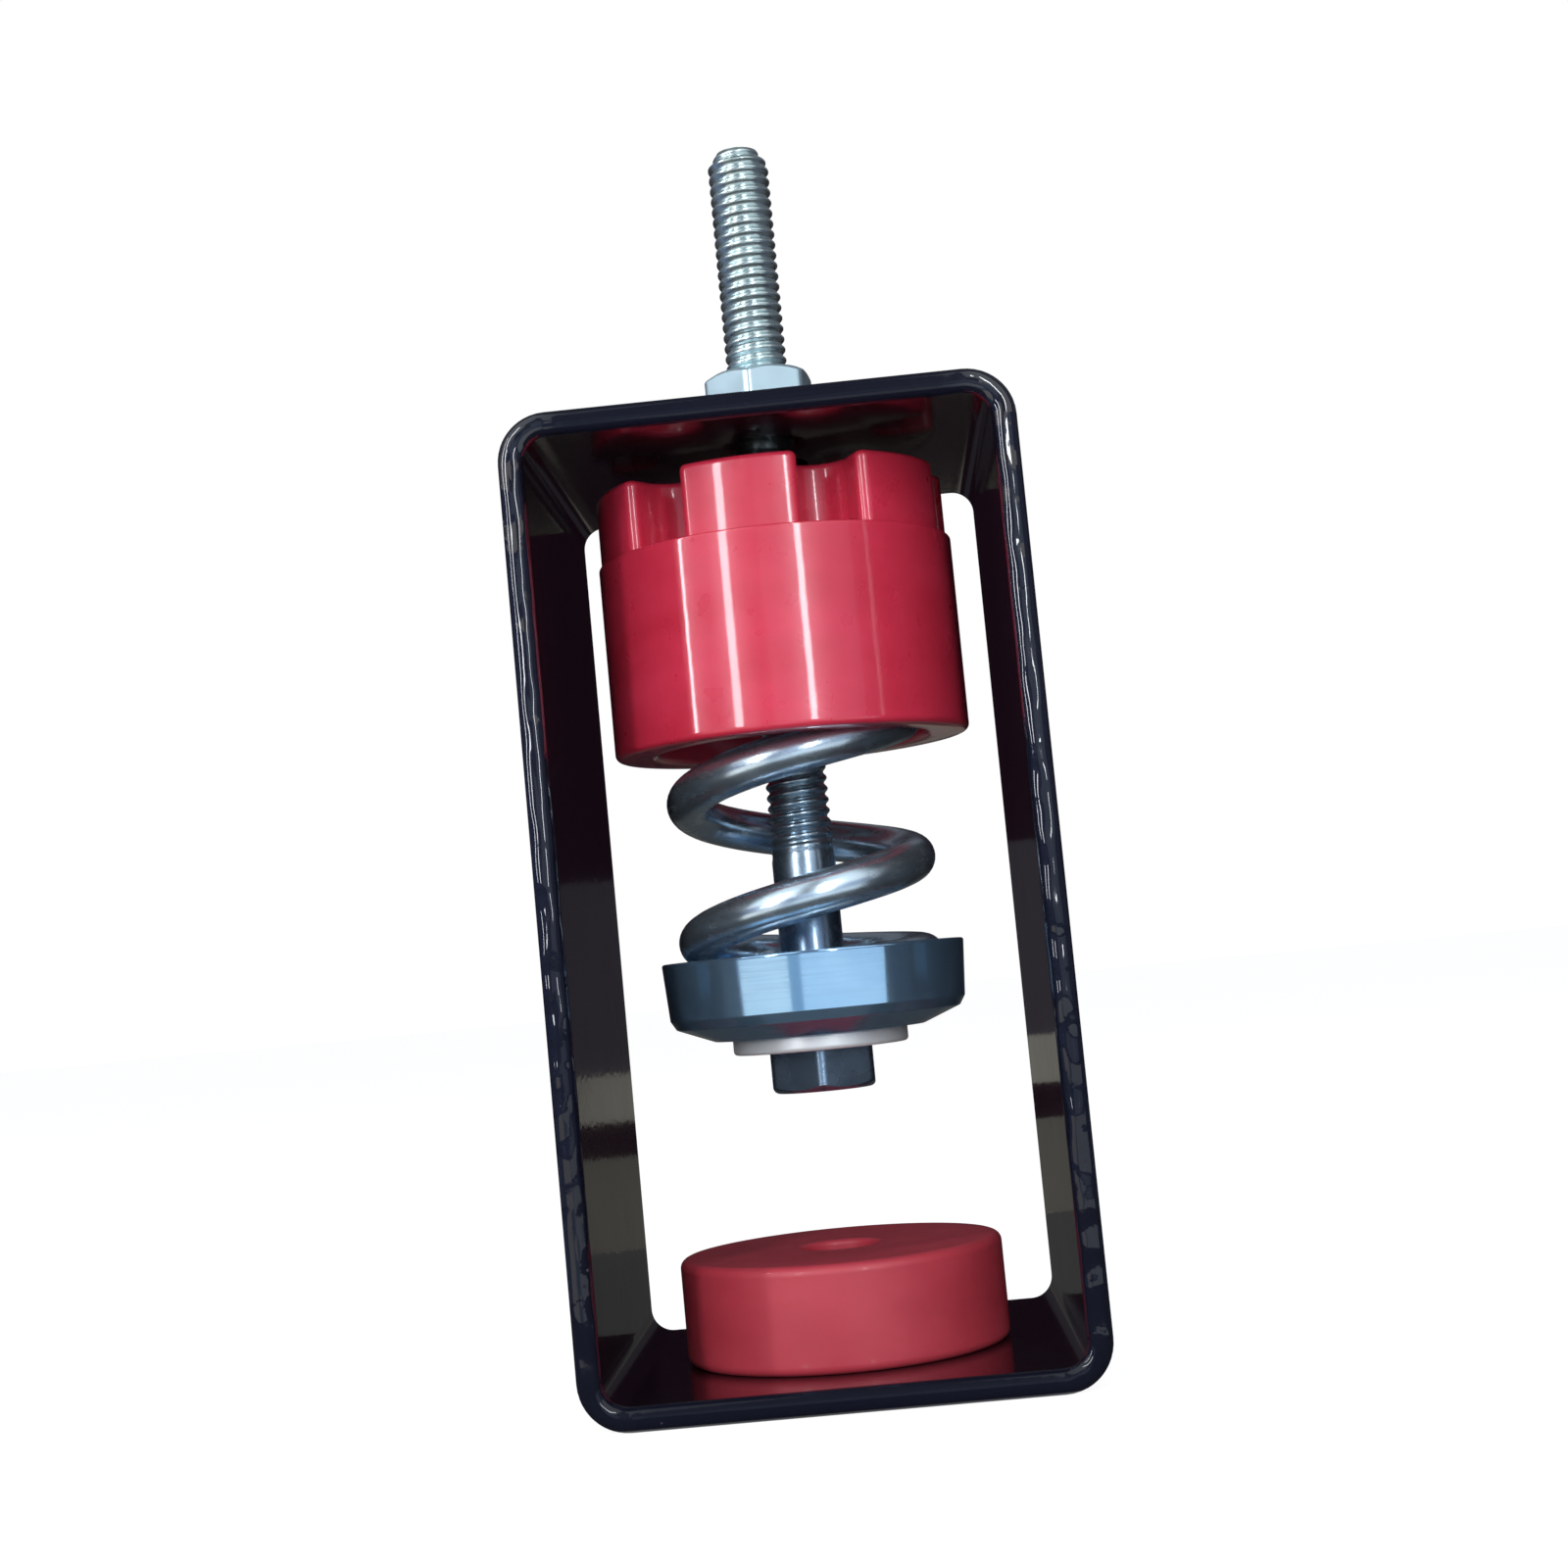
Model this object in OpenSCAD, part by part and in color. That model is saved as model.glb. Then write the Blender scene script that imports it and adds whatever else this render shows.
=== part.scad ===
// Spring vibration isolator: a hanger in which a steel box frame is carried on a
// hex bolt through a coil spring, a castellated rubber cup and a rubber foot pad.
// Millimetres, +Z up, origin at the centre of the frame's underside,
// with the open faces of the frame at the front (-Y) and rear (+Y).

/* [Housing] */
// Outside width of the box frame
housing_w = 62; // [58:1:90]
// Outside height of the box frame
housing_h = 120; // [116:1:150]
// Depth of the box frame from front rim to rear rim
housing_d = 60; // [50:1:90]
// Thickness of the frame's steel
wall_t = 3; // [2:0.25:4]
// Outside radius of the four bends
bend_r = 6; // [5:0.5:10]
// Rounding of the rim edges
rim_r = 1.3; // [0.3:0.1:1.3]
// Hole in the top wall for the bolt
top_hole_d = 11; // [9.5:0.5:12]

/* [Hanger bolt] */
// Thread diameter of the bolt
thread_d = 8; // [6:0.5:8]
// Diameter of the plain shank under the head
shank_d = 8.2; // [8:0.1:8.6]
// Length of the plain shank under the head
shank_len = 24.7; // [15:0.1:40]
// Length of the bolt under its head
bolt_len = 118.4; // [110:0.1:122]
// How far the tapered tip of the bolt closes in
tip_taper = 1.3; // [0.4:0.1:1.5]
// Length of the tapered tip
tip_len = 1.9; // [0.5:0.1:3]
// Hex head across its flats
head_af = 13; // [12:0.5:16]
// Height of the hex head
head_h = 5.3; // [4:0.1:7]
// Direction of one corner of the head
head_turn_deg = 30; // [0:1:59]

/* [Top nut] */
// Hex nut across its flats
nut_af = 13; // [13:0.5:17]
// Height of the hex nut
nut_h = 9.2; // [6:0.1:10]
// Direction of one corner of the nut
nut_turn_deg = 21; // [0:1:59]
// Length of stud that stands above the nut
stud_reach = 30.2; // [24:0.1:36]

/* [Seat washer] */
// Outside diameter of the washer under the spring seat
washer_d = 22.5; // [18:0.5:28]
// Thickness of the washer
washer_t = 2; // [1:0.1:3]

/* [Spring seat] */
// Outside diameter of the seat at its rim
seat_d = 39; // [38:0.5:44]
// Height of the seat
seat_h = 10.4; // [9:0.1:13]
// Depth of the recess that holds the end of the spring
seat_recess = 5; // [3:0.1:6]
// Diameter of the flat face underneath
seat_foot_d = 27; // [24:0.5:32]
// Height of the cone between the flat face and the side
seat_cone_h = 1.9; // [1:0.1:2.4]
// How much the side leans in on its way down
seat_draft = 0.5; // [0:0.1:1]
// Rounding between the side and the cone
seat_edge_r = 1.2; // [0.5:0.1:1.5]

/* [Coil spring] */
// Outside diameter of the coil
spring_od = 34; // [30:0.5:34]
// Diameter of the spring wire
wire_d = 5.5; // [4:0.1:6]
// Open turns between the two closed end turns
open_turns = 2.05; // [1.8:0.05:2.6]
// Direction of the lower end of the wire
spring_start_deg = 157; // [0:1:360]

/* [Rubber cup] */
// Outside diameter of the cup
cup_d = 46; // [44:0.5:50]
// Height of the cup over its lugs
cup_h = 34; // [32:0.5:38]
// Depth of the pocket for the spring
pocket_depth = 17; // [12:0.5:18]
// Gap left between the lugs and the top wall while the hanger is unloaded
cup_float = 3; // [1:0.1:4]
// Height of the lugs on top of the cup
lug_h = 9; // [6:0.5:10]
// Number of lugs around the cup
lug_count = 6; // [4:1:7]
// Direction of the first lug
lug_start_deg = 262; // [0:1:360]
// How far the lugs stand back from the side of the cup
lug_inset = 0.4; // [0.1:0.1:1]
// Width of the notches between the lugs
notch_w = 7.6; // [6:0.1:9]
// Depth of the notches towards the middle
notch_depth = 8.4; // [6:0.1:9]
// Rounding at the mouth of each notch
notch_mouth_r = 1.2; // [0.5:0.1:1.5]
// Rounding of the cup's lower edge
cup_edge_r = 0.8; // [0.3:0.1:1.2]
// Hole through the cup for the bolt
cup_hole_d = 10; // [9:0.5:12]

/* [Foot pad] */
// Diameter of the rubber pad
pad_d = 41; // [36:0.5:44]
// Height of the pad above the floor of the frame
pad_h = 13; // [8:0.5:16]
// Bore through the pad for the lower rod
pad_bore_d = 10; // [8.5:0.5:12]
// Diameter of the spigot that centres the pad in the bottom wall
spigot_d = 16; // [14:0.5:20]
// Rounding of the pad's edges
pad_edge_r = 1.1; // [0.5:0.1:2]

/* [Fits] */
// Radial clearance of the spring in its seat and in its cup
spring_clearance = 0.4; // [0.3:0.1:1]
// Radial clearance of the bolt in the seat and the washer
bolt_clearance = 0.15; // [0.1:0.05:0.4]
// How far the nut's thread reaches into the bolt's thread
thread_bite = 0.4; // [0.2:0.05:0.6]
// Radial clearance between the nut's bore and the bolt
nut_clearance = 0.02; // [0.01:0.01:0.05]
// Clearance of the spigot in its hole and above the underside
spigot_clearance = 0.2; // [0.1:0.05:0.4]
// Gap between neighbouring turns of the closed spring ends
turn_gap = 0.35; // [0.2:0.05:0.6]

/* [Hidden] */

round_fn = 96;
past = 1;

// Heights of the stack: the bolt hangs by its nut from the top wall
top_wall_z = housing_h - wall_t;
nut_z = housing_h;
tip_z = nut_z + nut_h + stud_reach;
head_top_z = tip_z - bolt_len;
seat_z = head_top_z + washer_t;
seat_floor_z = seat_z + seat_h - seat_recess;
cup_top_z = top_wall_z - cup_float;
cup_z = cup_top_z - cup_h;
lug_z = cup_top_z - lug_h;
pocket_top_z = cup_z + pocket_depth;

// Spring: two closed end turns with ground faces and open turns between them
coil_r = (spring_od - wire_d) / 2;
wire_r = wire_d / 2;
end_pitch = wire_d + turn_gap;
spring_len = pocket_top_z - seat_floor_z;
spring_turns = open_turns + 2;
open_pitch = end_pitch + (spring_len - end_pitch * spring_turns) / open_turns;
pitch_ramp = 0.3;
rings_per_turn = 24;
ring_count = round(spring_turns * rings_per_turn);
wire_sides = 14;

// Rim rounding, held below half the wall so that a flat stays between the two edges
rim_edge_r = min(rim_r, 0.45 * wall_t);

spring_hole_r = spring_od / 2 + spring_clearance;
bolt_hole_r = shank_d / 2 + bolt_clearance;
engaged_r = thread_d / 2 - thread_bite;
lug_r = cup_d / 2 - lug_inset;
notch_pitch_deg = 360 / lug_count;
hex_chamfer_deg = 30;
hex_face_share = 0.94;

// Radius of a hexagon's corners, from its size across the flats
function corner_r(across_flats) = across_flats / 2 / cos(30);

// Length gained after a change of pitch at zero, eased over the ramp's width
function eased(turns) =
    turns < -pitch_ramp / 2 ? 0 :
    turns > pitch_ramp / 2 ? turns :
    pow(turns + pitch_ramp / 2, 2) / (2 * pitch_ramp);

// Height of the wire's centre above the seat after a number of turns
function wire_rise(turns) =
    end_pitch * turns
    + (open_pitch - end_pitch) * (eased(turns - 1) - eased(turns - 1 - open_turns));

function clamped(value, low, high) = min(max(value, low), high);

// One ring of points round the wire, with the ends ground flat at the two seats
function wire_ring(i) =
    let (
        turns = spring_turns * i / ring_count,
        heading = spring_start_deg + 360 * turns,
        centre_z = seat_floor_z + wire_rise(turns)
    )
    [for (k = [0 : wire_sides - 1])
        let (
            around = 360 * (k + 0.5) / wire_sides,
            reach = coil_r + wire_r * cos(around),
            z = centre_z + wire_r * sin(around)
        )
        [reach * cos(heading), reach * sin(heading), clamped(z, seat_floor_z, pocket_top_z)]];

// Rectangle with all four corners rounded, in the positive quadrant
module rounded_rect(size, r) {
    translate([r, 0]) square([size.x - 2 * r, size.y]);
    translate([0, r]) square([size.x, size.y - 2 * r]);
    for (x = [r, size.x - r], y = [r, size.y - r]) translate([x, y]) circle(r, $fn = round_fn);
}

// Hexagonal block whose corners are turned off at the chosen ends,
// down to a round face a little smaller than the size across the flats
module hex_block(across_flats, h, chamfer_low, chamfer_high) {
    flat_r = hex_face_share * across_flats / 2;
    drop = (corner_r(across_flats) - flat_r) * tan(hex_chamfer_deg);
    low = chamfer_low ? drop : 0;
    high = chamfer_high ? drop : 0;
    reach = corner_r(across_flats);
    intersection() {
        cylinder(h = h, r = reach, $fn = 6);
        rotate_extrude($fn = round_fn)
            polygon([
                [0, 0], [chamfer_low ? flat_r : reach, 0], [reach, low],
                [reach, h - high], [chamfer_high ? flat_r : reach, h], [0, h]
            ]);
    }
}

// Steel strip section: one wall, with all its edges rounded
module strip_section() {
    translate([0, -housing_d / 2]) rounded_rect([wall_t, housing_d], rim_edge_r);
}

// Straight run of a wall, standing on its end at the start of a side
module strip_run(length) {
    linear_extrude(length) strip_section();
}

// Quarter bend that joins two walls
module strip_bend() {
    rotate_extrude(angle = 90, $fn = round_fn) translate([bend_r - wall_t, 0]) strip_section();
}

// Box frame: four walls and four bends of one strip, holed for the bolt and the pad
module housing() {
    color([0.05, 0.05, 0.09]) difference() {
        union() {
            for (side = [0, 1]) {
                mirror([side, 0, 0])
                    translate([housing_w / 2 - wall_t, 0, bend_r])
                        strip_run(housing_h - 2 * bend_r);
                translate([0, 0, side * housing_h])
                    mirror([0, 0, side])
                        translate([-housing_w / 2 + bend_r, 0, wall_t])
                            rotate([0, 90, 0])
                                strip_run(housing_w - 2 * bend_r);
            }
            for (sx = [0, 1], sz = [0, 1])
                translate([0, 0, sz * housing_h])
                    mirror([0, 0, sz])
                        mirror([sx, 0, 0])
                            translate([housing_w / 2 - bend_r, 0, bend_r])
                                rotate([-90, 0, 0])
                                    strip_bend();
        }
        translate([0, 0, top_wall_z - past])
            cylinder(h = wall_t + 2 * past, d = top_hole_d, $fn = round_fn);
        translate([0, 0, -past])
            cylinder(h = wall_t + 2 * past, r = spigot_d / 2 + spigot_clearance, $fn = round_fn);
    }
}

// Plan of one notch along +X: a slot with a round end and a rounded mouth
module notch_plan() {
    half_w = notch_w / 2;
    end_x = lug_r - notch_depth + half_w;
    mouth_y = half_w + notch_mouth_r;
    mouth_x = sqrt(pow(lug_r - notch_mouth_r, 2) - pow(mouth_y, 2));
    outward = (lug_r + 2 * past) / (lug_r - notch_mouth_r);
    translate([end_x, 0]) circle(half_w, $fn = round_fn);
    translate([end_x, -half_w]) square([lug_r, notch_w]);
    for (side = [0, 1]) mirror([0, side]) difference() {
        polygon([
            [mouth_x, half_w - past / 2], [lug_r + 2 * past, half_w - past / 2],
            [mouth_x * outward, mouth_y * outward], [mouth_x, mouth_y]
        ]);
        translate([mouth_x, mouth_y]) circle(notch_mouth_r, $fn = round_fn);
    }
}

// Rubber cup: a thick body with a ring of lugs on top and the spring's pocket below
module rubber_cup() {
    color([0.78, 0.10, 0.16]) difference() {
        union() {
            translate([0, 0, cup_z]) rotate_extrude($fn = round_fn) {
                body_h = cup_h - lug_h;
                square([cup_d / 2 - cup_edge_r, body_h]);
                translate([0, cup_edge_r]) square([cup_d / 2, body_h - cup_edge_r]);
                translate([cup_d / 2 - cup_edge_r, cup_edge_r]) circle(cup_edge_r, $fn = round_fn);
            }
            translate([0, 0, lug_z]) linear_extrude(lug_h) difference() {
                circle(lug_r, $fn = round_fn);
                for (k = [0 : lug_count - 1])
                    rotate(lug_start_deg + (k + 0.5) * notch_pitch_deg) notch_plan();
            }
        }
        translate([0, 0, cup_z - past])
            cylinder(h = pocket_depth + past, r = spring_hole_r, $fn = round_fn);
        translate([0, 0, cup_z])
            cylinder(h = cup_h + past, d = cup_hole_d, $fn = round_fn);
    }
}

// Coil spring: right-handed round wire swept along its helix
module coil_spring() {
    rings = [for (i = [0 : ring_count]) wire_ring(i)];
    side_faces = [
        for (i = [0 : ring_count - 1], k = [0 : wire_sides - 1])
            let (
                here = i * wire_sides,
                ahead = here + wire_sides,
                next = (k + 1) % wire_sides
            )
            each [[here + k, ahead + k, here + next], [here + next, ahead + k, ahead + next]]
    ];
    first_end = [for (k = [0 : wire_sides - 1]) k];
    last_end = [for (k = [wire_sides - 1 : -1 : 0]) ring_count * wire_sides + k];
    color([0.28, 0.30, 0.35])
        polyhedron([for (ring = rings) each ring], concat(side_faces, [first_end, last_end]));
}

// Spring seat: turned dish with a coned underside
module spring_seat() {
    rim_radius = seat_d / 2;
    low_radius = rim_radius - seat_draft;
    edge_z = seat_cone_h + seat_edge_r;
    color([0.20, 0.25, 0.36]) translate([0, 0, seat_z]) difference() {
        rotate_extrude($fn = round_fn) {
            polygon([
                [0, 0], [seat_foot_d / 2, 0], [low_radius - seat_edge_r, seat_cone_h],
                [low_radius - seat_edge_r, edge_z], [low_radius, edge_z],
                [rim_radius, seat_h], [0, seat_h]
            ]);
            translate([low_radius - seat_edge_r, edge_z]) circle(seat_edge_r, $fn = round_fn);
        }
        translate([0, 0, seat_h - seat_recess])
            cylinder(h = seat_recess + past, r = spring_hole_r, $fn = round_fn);
        translate([0, 0, -past])
            cylinder(h = seat_h + 2 * past, r = bolt_hole_r, $fn = round_fn);
    }
}

// Flat washer between the bolt's head and the spring seat
module seat_washer() {
    color([0.72, 0.75, 0.78]) translate([0, 0, head_top_z]) difference() {
        cylinder(h = washer_t, d = washer_d, $fn = round_fn);
        translate([0, 0, -past])
            cylinder(h = washer_t + 2 * past, r = bolt_hole_r, $fn = round_fn);
    }
}

// Hex bolt with its head at the bottom: plain shank first, then the thread's envelope,
// which inside the nut is drawn at the radius where the two threads meet
module hanger_bolt() {
    nut_start = nut_z - head_top_z;
    nut_end = nut_start + nut_h;
    color([0.62, 0.65, 0.66]) {
        translate([0, 0, head_top_z - head_h])
            rotate(head_turn_deg) hex_block(head_af, head_h, true, false);
        translate([0, 0, head_top_z]) rotate_extrude($fn = round_fn)
            polygon([
                [0, -past], [shank_d / 2, -past], [shank_d / 2, shank_len],
                [thread_d / 2, shank_len], [thread_d / 2, nut_start],
                [engaged_r, nut_start], [engaged_r, nut_end],
                [thread_d / 2, nut_end], [thread_d / 2, bolt_len - tip_len],
                [thread_d / 2 - tip_taper, bolt_len], [0, bolt_len]
            ]);
    }
}

// Hex nut that carries the bolt on the top wall
module top_nut() {
    color([0.76, 0.80, 0.85]) translate([0, 0, nut_z]) difference() {
        rotate(nut_turn_deg) hex_block(nut_af, nut_h, true, true);
        translate([0, 0, -past])
            cylinder(h = nut_h + 2 * past, r = engaged_r + nut_clearance, $fn = round_fn);
    }
}

// Rubber foot pad: a bored disc on the floor of the frame, centred by its spigot
module foot_pad() {
    color([0.74, 0.12, 0.16]) difference() {
        union() {
            translate([0, 0, wall_t]) rotate_extrude($fn = round_fn) {
                square([pad_d / 2 - pad_edge_r, pad_h]);
                translate([0, pad_edge_r]) square([pad_d / 2, pad_h - 2 * pad_edge_r]);
                for (z = [pad_edge_r, pad_h - pad_edge_r])
                    translate([pad_d / 2 - pad_edge_r, z]) circle(pad_edge_r, $fn = round_fn);
            }
            translate([0, 0, spigot_clearance])
                cylinder(h = wall_t, d = spigot_d, $fn = round_fn);
        }
        translate([0, 0, -past])
            cylinder(h = wall_t + pad_h + 2 * past, d = pad_bore_d, $fn = round_fn);
    }
}

housing();
rubber_cup();
coil_spring();
spring_seat();
seat_washer();
hanger_bolt();
top_nut();
foot_pad();
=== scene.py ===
"""Looks of a spring vibration isolator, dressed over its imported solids.

Metres, +Z up, in the frame of the solids. The open front of the box frame faces -Y.
"""

import math

import bmesh
import bpy
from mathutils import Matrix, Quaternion, Vector


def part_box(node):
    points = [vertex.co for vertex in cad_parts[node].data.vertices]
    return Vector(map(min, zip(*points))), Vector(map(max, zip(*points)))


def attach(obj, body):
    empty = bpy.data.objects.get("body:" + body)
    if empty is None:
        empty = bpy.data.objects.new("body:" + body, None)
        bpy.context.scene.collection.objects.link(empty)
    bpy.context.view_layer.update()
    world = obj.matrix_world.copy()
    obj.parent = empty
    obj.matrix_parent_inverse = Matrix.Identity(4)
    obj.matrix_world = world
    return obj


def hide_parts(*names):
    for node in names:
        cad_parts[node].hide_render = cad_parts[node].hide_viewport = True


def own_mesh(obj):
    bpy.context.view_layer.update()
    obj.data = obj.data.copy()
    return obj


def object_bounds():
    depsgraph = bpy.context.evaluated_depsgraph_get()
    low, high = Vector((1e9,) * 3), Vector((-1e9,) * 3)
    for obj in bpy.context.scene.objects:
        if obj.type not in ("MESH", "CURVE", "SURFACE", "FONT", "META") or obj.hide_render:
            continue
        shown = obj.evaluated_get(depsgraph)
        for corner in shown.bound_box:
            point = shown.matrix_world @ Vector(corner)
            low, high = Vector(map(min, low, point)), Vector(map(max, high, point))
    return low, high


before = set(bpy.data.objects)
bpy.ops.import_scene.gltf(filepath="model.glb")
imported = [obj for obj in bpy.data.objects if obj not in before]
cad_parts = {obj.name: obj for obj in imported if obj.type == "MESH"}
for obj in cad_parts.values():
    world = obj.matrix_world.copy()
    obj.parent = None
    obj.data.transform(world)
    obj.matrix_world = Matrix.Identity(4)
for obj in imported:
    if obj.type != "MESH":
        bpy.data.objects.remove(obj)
cad_low, cad_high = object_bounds()

MM = 0.001
TURN = 2 * math.pi

# Camera, as the photograph was taken
CAMERA_AT = Vector((0.0091, -0.3003, 0.0500))
CAMERA_AIM = Vector((-0.0016, 0.0, 0.0753))
CAMERA_ROLL_DEG = 5.415
CAMERA_LENS = 53.37
CAMERA_CLIP = (0.01, 50.0)
SENSOR_W = 36.0

# Bolt and nut
THREAD_PITCH = 1.42 * MM
THREAD_DEPTH = 0.42 * MM
THREAD_FORM = 1.25
THREAD_FADE_IN = 2.2 * THREAD_PITCH
THREAD_FADE_OUT = 0.6 * THREAD_PITCH
SHANK_D = 8.2 * MM
SHANK_LEN = 24.7 * MM
THREAD_D = 8.0 * MM
TIP_TAPER = 1.3 * MM
TIP_LEN = 1.9 * MM
HEX_AF = 13.0 * MM
HEAD_H = 5.3 * MM
HEAD_TURN_DEG = 30
NUT_TURN_DEG = 21
HEX_CHAMFER_DEG = 30
HEX_FACE_SHARE = 0.94
HEX_EDGE = 0.16 * MM
HEX_CORNER = 0.18 * MM
NUT_BORE_D = 7.24 * MM
NUT_SINK = 0.45 * MM
SHANK_RUNOUT = 0.5 * MM

# Spring
SPRING_OD = 34.0 * MM
WIRE_D = 5.5 * MM
TURN_GAP = 0.35 * MM
OPEN_TURNS = 2.05
SPRING_START_DEG = 157
PITCH_RAMP = 0.3
SLOPE_STEP = 0.01

# Spring seat and washer
SEAT_RECESS = 5.0 * MM
SEAT_FOOT_D = 27.0 * MM
SEAT_CONE_H = 1.9 * MM
SEAT_DRAFT = 0.5 * MM
SEAT_EDGE_R = 1.2 * MM
SEAT_EDGE_LEAN = 0.6
SPRING_HOLE_D = 34.8 * MM
BOLT_HOLE_D = 8.5 * MM
TURNING_GAP = 0.02 * MM

# Rubber cup
LUG_H = 9.0 * MM
LUG_COUNT = 6
LUG_START_DEG = 262
LUG_INSET = 0.4 * MM
LUG_EDGE_R = 0.7 * MM
NOTCH_W = 7.6 * MM
NOTCH_DEPTH = 8.4 * MM
NOTCH_MOUTH_R = 1.2 * MM
CUP_EDGE_R = 0.8 * MM
CUP_SHOULDER_R = 0.25 * MM
CUP_HOLE_D = 10.0 * MM
POCKET_DEPTH = 17.0 * MM

# Foot pad
PAD_BORE_D = 10.0 * MM
PAD_SPIGOT_D = 16.0 * MM
PAD_EDGE_R = 1.1 * MM
WALL_T = 3.0 * MM

# Broken edges of the turned and moulded pieces
FINE_EDGE = 0.2 * MM
BROKEN_EDGE = 0.3 * MM
EASED_EDGE = 0.4 * MM
ROLLED_EDGE = 0.5 * MM
ROUNDED_EDGE = 0.6 * MM

# Fineness of the meshes
WELD = 0.001 * MM
BRACE = 0.1 * MM
ROUND_COLUMNS = 160
HEX_COLUMNS = 192
THREAD_COLUMNS = 72
THREAD_STEPS = 12
WIRE_SIDES = 32
WIRE_STEPS = 110
FILLET_STEPS = 6
CUP_EDGE_STEPS = 6
LUG_EDGE_STEPS = 5
SMALL_EDGE_STEPS = 4
NOTCH_MOUTH_STEPS = 8
NOTCH_END_STEPS = 20
LUG_STEPS = 16

# Masks of the paint, as distances in from an edge where they begin and are full
RIM_FADE = (1.6 * MM, 0.9 * MM)
SIDE_FADE = (9.0 * MM, 4.0 * MM)

# Heights between which the paint's rims change, and over which painted shade darkens the bolt's plating
BRIGHT_RIM_Z = (35 * MM, 75 * MM)
PAINTED_SHADE_Z = (90 * MM, 58 * MM)

# Dust specks: the share of a speck's size that is solid, and how sharply cells are chosen
SPECK_CORE = 0.6
SPECK_CUT = 1.02

# Depths of the bumps
PEEL_DEPTH = 0.010 * MM
RUN_DEPTH = 0.34 * MM
WAVE_DEPTH = 0.006 * MM
GRAIN_DEPTH = 0.001 * MM

# Studio floor, world and lamps
WORLD_COLOUR = (0.86, 0.93, 1.0)
WORLD_STRENGTH = 0.30
FLOOR_W = 12.0
FLOOR_GREY = 0.80
FLOOR_GLOW = 1.38
FLOOR_GLOW_SHARE = 0.66
LAMP_COLOUR = (0.94, 0.97, 1.0)
STRIP_AWAY = 0.9
STRIP_FOOT = 0.085
STRIP_TOP = 0.80
FILL_AZIMUTH_DEG = 4
FILL_AWAY = 1.0
FILL_HEIGHT = 0.40
FILL_W = 0.7

# Mirror cards: distances, heights, and directions where zero is the front and 90 the right
CARD_AWAY = 1.2
CARD_STEP_DEG = 5
CARD_LIFT = 0.0004
CARD_FOOT = -0.5
FLOOR_NEAR = 0.16
FLOOR_FAR = 0.60
FLOOR_REAR = 0.45
REAR_DARK = (0.42, 0.62)
REAR_SPLIT = 0.125
GAP_TOP = 0.38
LEFT_TOP = 0.40
SIDE_TOP = 0.42
SKY_FOOT = 0.62
SKY_HEIGHT = 1.1
SKY_MIDDLE = 0.25
ALL_ROUND_DEG = (-180, 180)
FRONT_DEG = (-112, 112)
LEFT_FLOOR_DEG = (-112, -55)
LEFT_PANEL_DEG = (-55, -17)
GAP_DEG = (-17, -8)
RIGHT_PANEL_DEG = (-8, 68)
RIGHT_FLOOR_DEG = (68, 112)
BEHIND_DEG = (112, 248)
REAR_DEG = (150, 210)
REAR_LIT_DEG = (173, 185)
FAR_LEFT_DEG = (-150, -112)
FRONT_LEFT_DEG = (-112, -17)
FRONT_RIGHT_DEG = (-8, 51)
SIDE_RIGHT_DEG = (51, 100)
FAR_RIGHT_DEG = (100, 150)
HIGH_LEFT_DEG = (-150, -85)
HIGH_RIGHT_DEG = (70, 150)
SKY_GAP_DEG = (-11, 7)
SKY_LEFT_DEG = (-90, -11)
SKY_RIGHT_DEG = (7, 75)
SKY_REAR_DEG = (75, 270)

# Colours of the mirror cards that more than one of them has
SKY = (0.90, 0.98, 1.0)
DIM = (0.13, 0.135, 0.15)
BLACK = (0.010, 0.004, 0.008)


# Node materials


def new_material(name):
    """A node material with its principled shader and its object coordinates."""
    material = bpy.data.materials.new(name)
    material.use_nodes = True
    tree = material.node_tree
    shader = tree.nodes["Principled BSDF"]
    coords = tree.nodes.new("ShaderNodeTexCoord")
    return material, tree, shader, coords.outputs["Object"]


def add_noise(tree, vector, scale, detail, stretch=None):
    """Noise over object coordinates, with an optional stretch along each axis."""
    if stretch:
        mapping = tree.nodes.new("ShaderNodeMapping")
        mapping.inputs["Scale"].default_value = stretch
        tree.links.new(vector, mapping.inputs["Vector"])
        vector = mapping.outputs["Vector"]
    noise = tree.nodes.new("ShaderNodeTexNoise")
    noise.inputs["Scale"].default_value = scale
    noise.inputs["Detail"].default_value = detail
    tree.links.new(vector, noise.inputs["Vector"])
    return noise.outputs["Fac"]


def add_range(tree, value, low, high, to_low, to_high):
    """A value moved from one range to another, and held inside it."""
    node = tree.nodes.new("ShaderNodeMapRange")
    node.inputs["From Min"].default_value = low
    node.inputs["From Max"].default_value = high
    node.inputs["To Min"].default_value = to_low
    node.inputs["To Max"].default_value = to_high
    tree.links.new(value, node.inputs["Value"])
    return node.outputs["Result"]


def add_mix(tree, factor, first, second):
    """A colour between two, where each is a colour or another node's output."""
    node = tree.nodes.new("ShaderNodeMix")
    node.data_type = "RGBA"
    tree.links.new(factor, node.inputs["Factor"])
    for socket, value in zip([s for s in node.inputs if s.type == "RGBA"], (first, second)):
        if isinstance(value, tuple):
            socket.default_value = (*value, 1.0)
        else:
            tree.links.new(value, socket)
    return next(s for s in node.outputs if s.type == "RGBA")


def add_bump(tree, height, depth, under=None, mask=None):
    """A bump of the given depth in metres, over another bump and inside a mask where these are given."""
    node = tree.nodes.new("ShaderNodeBump")
    node.inputs["Distance"].default_value = depth
    node.inputs["Strength"].default_value = 1.0
    tree.links.new(height, node.inputs["Height"])
    if under:
        tree.links.new(under, node.inputs["Normal"])
    if mask:
        tree.links.new(mask, node.inputs["Strength"])
    return node.outputs["Normal"]


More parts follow.
